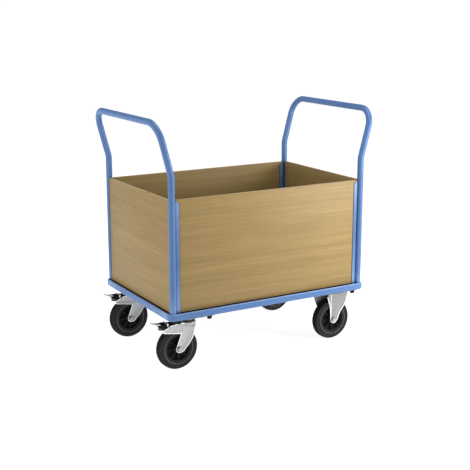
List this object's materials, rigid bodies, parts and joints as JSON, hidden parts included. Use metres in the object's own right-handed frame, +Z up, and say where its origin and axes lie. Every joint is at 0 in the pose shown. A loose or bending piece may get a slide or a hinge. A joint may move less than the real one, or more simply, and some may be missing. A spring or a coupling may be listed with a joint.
{
  "type": "box trolley",
  "caption": "Four-sided platform trolley: an open box of wood-grain boards on a blue tube and sheet steel frame, a bent push handle at each end, braked swivel castors and fixed castors.",
  "frame": {"origin": "on the floor under the middle of the platform, at the bottom centre of the whole cart", "axes": "+X along the length towards the fixed castors, +Y across the width, +Z up"},
  "size_m": [1.1692, 0.714, 1.15],
  "materials": {
    "blue_paint": "satin powder coat",
    "beech_board": "satin beech decor",
    "deck_film": "matt dark film",
    "zinc": "bright zinc plate",
    "dark_steel": "satin powder coat",
    "rubber": "matt solid rubber",
    "black_plastic": "satin moulded plastic"
  },
  "bodies": {
    "trolley": {"rail_front": "blue_paint", "rail_rear": "blue_paint", "rail_left": "blue_paint", "rail_right": "blue_paint", "deck_board": "deck_film", "handle_left": "blue_paint", "handle_right": "blue_paint", "panel_front": "beech_board", "panel_rear": "beech_board", "panel_left": "beech_board", "panel_right": "beech_board", "strip_front_left": "blue_paint", "strip_front_right": "blue_paint", "strip_rear_left": "blue_paint", "strip_rear_right": "blue_paint", "panel_screws": "zinc", "panel_dowels": "zinc", "mount_plate_left": "dark_steel", "mount_plate_right": "dark_steel", "castor_bolts": "zinc", "frame_bolts": "black_plastic", "castor_plate_front_left": "zinc", "kingpin_front_left": "zinc", "bracket_front_right": "zinc", "axle_bolt_front_right": "zinc", "axle_sleeve_front_right": "zinc", "castor_plate_rear_left": "zinc", "kingpin_rear_left": "zinc", "bracket_rear_right": "zinc", "axle_bolt_rear_right": "zinc", "axle_sleeve_rear_right": "zinc", "axle_nuts_right": "zinc"},
    "swivel_front": {"fork_front_left": "zinc", "ball_ring_front_left": "zinc", "brake_pin_front_left": "zinc", "axle_bolt_front_left": "zinc", "axle_nut_front_left": "zinc", "axle_sleeve_front_left": "zinc"},
    "brake_front": {"brake_arm_front_left": "black_plastic", "brake_pedal_front_left": "zinc"},
    "wheel_front_left": {"tyre_front_left": "rubber", "rim_front_left": "black_plastic", "bearing_front_left": "zinc"},
    "wheel_front_right": {"tyre_front_right": "rubber", "rim_front_right": "black_plastic", "bearing_front_right": "zinc"},
    "swivel_rear": {"fork_rear_left": "zinc", "ball_ring_rear_left": "zinc", "brake_pin_rear_left": "zinc", "axle_bolt_rear_left": "zinc", "axle_nut_rear_left": "zinc", "axle_sleeve_rear_left": "zinc"},
    "brake_rear": {"brake_arm_rear_left": "black_plastic", "brake_pedal_rear_left": "zinc"},
    "wheel_rear_left": {"tyre_rear_left": "rubber", "rim_rear_left": "black_plastic", "bearing_rear_left": "zinc"},
    "wheel_rear_right": {"tyre_rear_right": "rubber", "rim_rear_right": "black_plastic", "bearing_rear_right": "zinc"}
  },
  "joints": [
    {"name": "swivel_front_turn", "type": "hinge", "parent": "trolley", "child": "swivel_front", "pos_m": [-0.402, -0.263, 0.22], "axis": [0, 0, 1], "continuous": true},
    {"name": "wheel_front_left_spin", "type": "hinge", "parent": "swivel_front", "child": "wheel_front_left", "pos_m": [-0.456, -0.263, 0.1], "axis": [0, 1, 0], "continuous": true},
    {"name": "brake_front_press", "type": "hinge", "parent": "swivel_front", "child": "brake_front", "pos_m": [-0.503, -0.263, 0.21], "axis": [0, -1, 0], "range_deg": [0, 13]},
    {"name": "wheel_front_right_spin", "type": "hinge", "parent": "trolley", "child": "wheel_front_right", "pos_m": [0.401, -0.263, 0.1], "axis": [0, 1, 0], "continuous": true},
    {"name": "swivel_rear_turn", "type": "hinge", "parent": "trolley", "child": "swivel_rear", "pos_m": [-0.402, 0.263, 0.22], "axis": [0, 0, 1], "continuous": true},
    {"name": "wheel_rear_left_spin", "type": "hinge", "parent": "swivel_rear", "child": "wheel_rear_left", "pos_m": [-0.456, 0.263, 0.1], "axis": [0, 1, 0], "continuous": true},
    {"name": "brake_rear_press", "type": "hinge", "parent": "swivel_rear", "child": "brake_rear", "pos_m": [-0.503, 0.263, 0.21], "axis": [0, -1, 0], "range_deg": [0, 13]},
    {"name": "wheel_rear_right_spin", "type": "hinge", "parent": "trolley", "child": "wheel_rear_right", "pos_m": [0.401, 0.263, 0.1], "axis": [0, 1, 0], "continuous": true}
  ]
}
